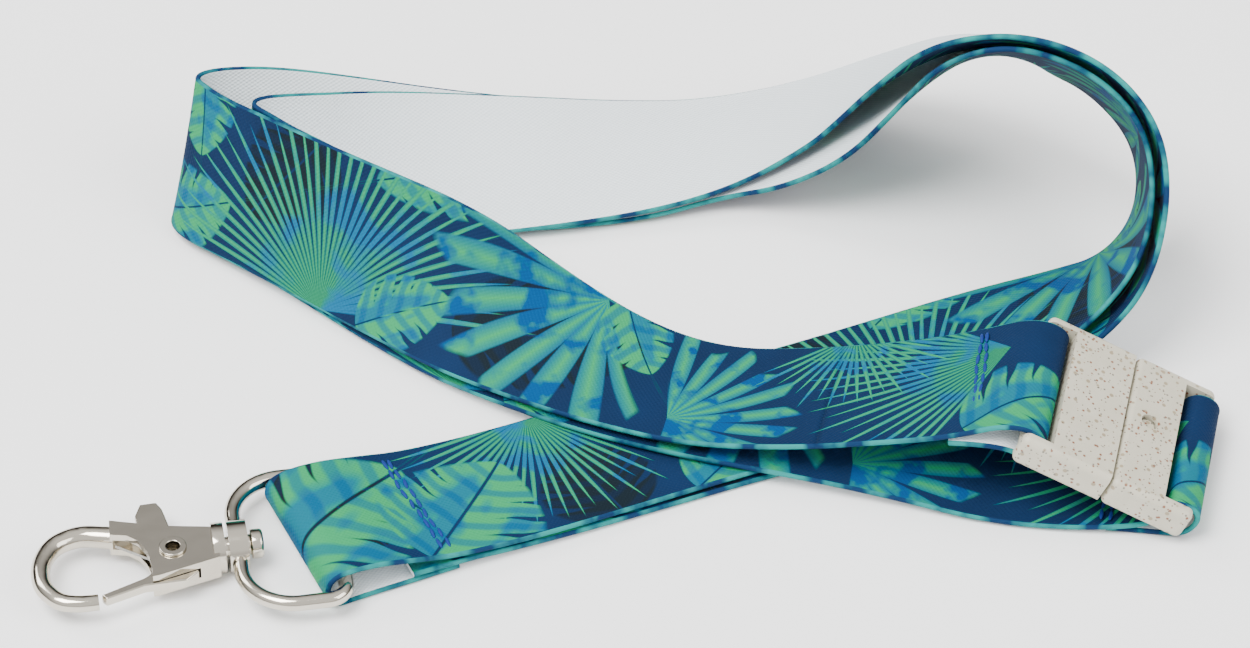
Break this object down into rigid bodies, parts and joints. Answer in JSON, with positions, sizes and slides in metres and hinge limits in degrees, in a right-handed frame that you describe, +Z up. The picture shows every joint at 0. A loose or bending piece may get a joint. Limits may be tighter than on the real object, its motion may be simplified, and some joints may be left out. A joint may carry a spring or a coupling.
{
  "type": "lanyard",
  "caption": "Neck lanyard of two printed fabric straps with a swivel lobster hook on a D-ring and a breakaway buckle, lying loosely looped",
  "frame": {"origin": "middle of the object's footprint, at table height", "axes": "+X along the lanyard from the hook towards the buckle, +Y across the table away from the hook side, +Z up"},
  "size_m": [0.1436, 0.0984, 0.0338],
  "materials": {
    "printed_webbing": "matte polyester webbing, printed on one face and white on the other",
    "thread": "matte polyester sewing thread",
    "nickel_plate": "bright nickel plating on zinc",
    "spring_steel": "drawn wire",
    "straw_plastic": "moulded straw-filled plastic with fine flecks"
  },
  "bodies": {
    "root": {"strap_upper": "printed_webbing", "strap_lower": "printed_webbing", "stitching_ring_end": "thread", "stitching_plug_end": "thread", "stitching_socket_end": "thread", "buckle_socket": "straw_plastic"},
    "ring": {"d_ring": "nickel_plate"},
    "hook": {"hook_body": "nickel_plate", "swivel_post": "nickel_plate", "gate_rivet": "nickel_plate", "gate_spring": "spring_steel"},
    "lever": {"gate_lever": "nickel_plate"},
    "plug": {"buckle_plug": "straw_plastic"}
  },
  "joints": [
    {"name": "ring_swing", "type": "hinge", "parent": "root", "child": "ring", "pos_m": [-0.03558, -0.03593, 0.0031], "axis": [-0.1685, 0.9857, 0], "range_deg": [-75, 75], "deforming": ["strap_upper"]},
    {"name": "hook_swivel", "type": "hinge", "parent": "ring", "child": "hook", "pos_m": [-0.0477, -0.038, 0.0031], "axis": [0.9857, 0.1685, 0], "continuous": true},
    {"name": "gate", "type": "hinge", "parent": "hook", "child": "lever", "pos_m": [-0.05486, -0.04004, 0.0031], "axis": [0, 0, -1], "range_deg": [0, 25], "stiffness_Nm_per_rad": 0.02, "springref_deg": -28.65},
    {"name": "buckle_release", "type": "slide", "parent": "root", "child": "plug", "axis": [-0.8968, 0.1743, 0.4067], "range_m": [0, 0.009], "deforming": ["strap_upper", "stitching_plug_end"]}
  ]
}
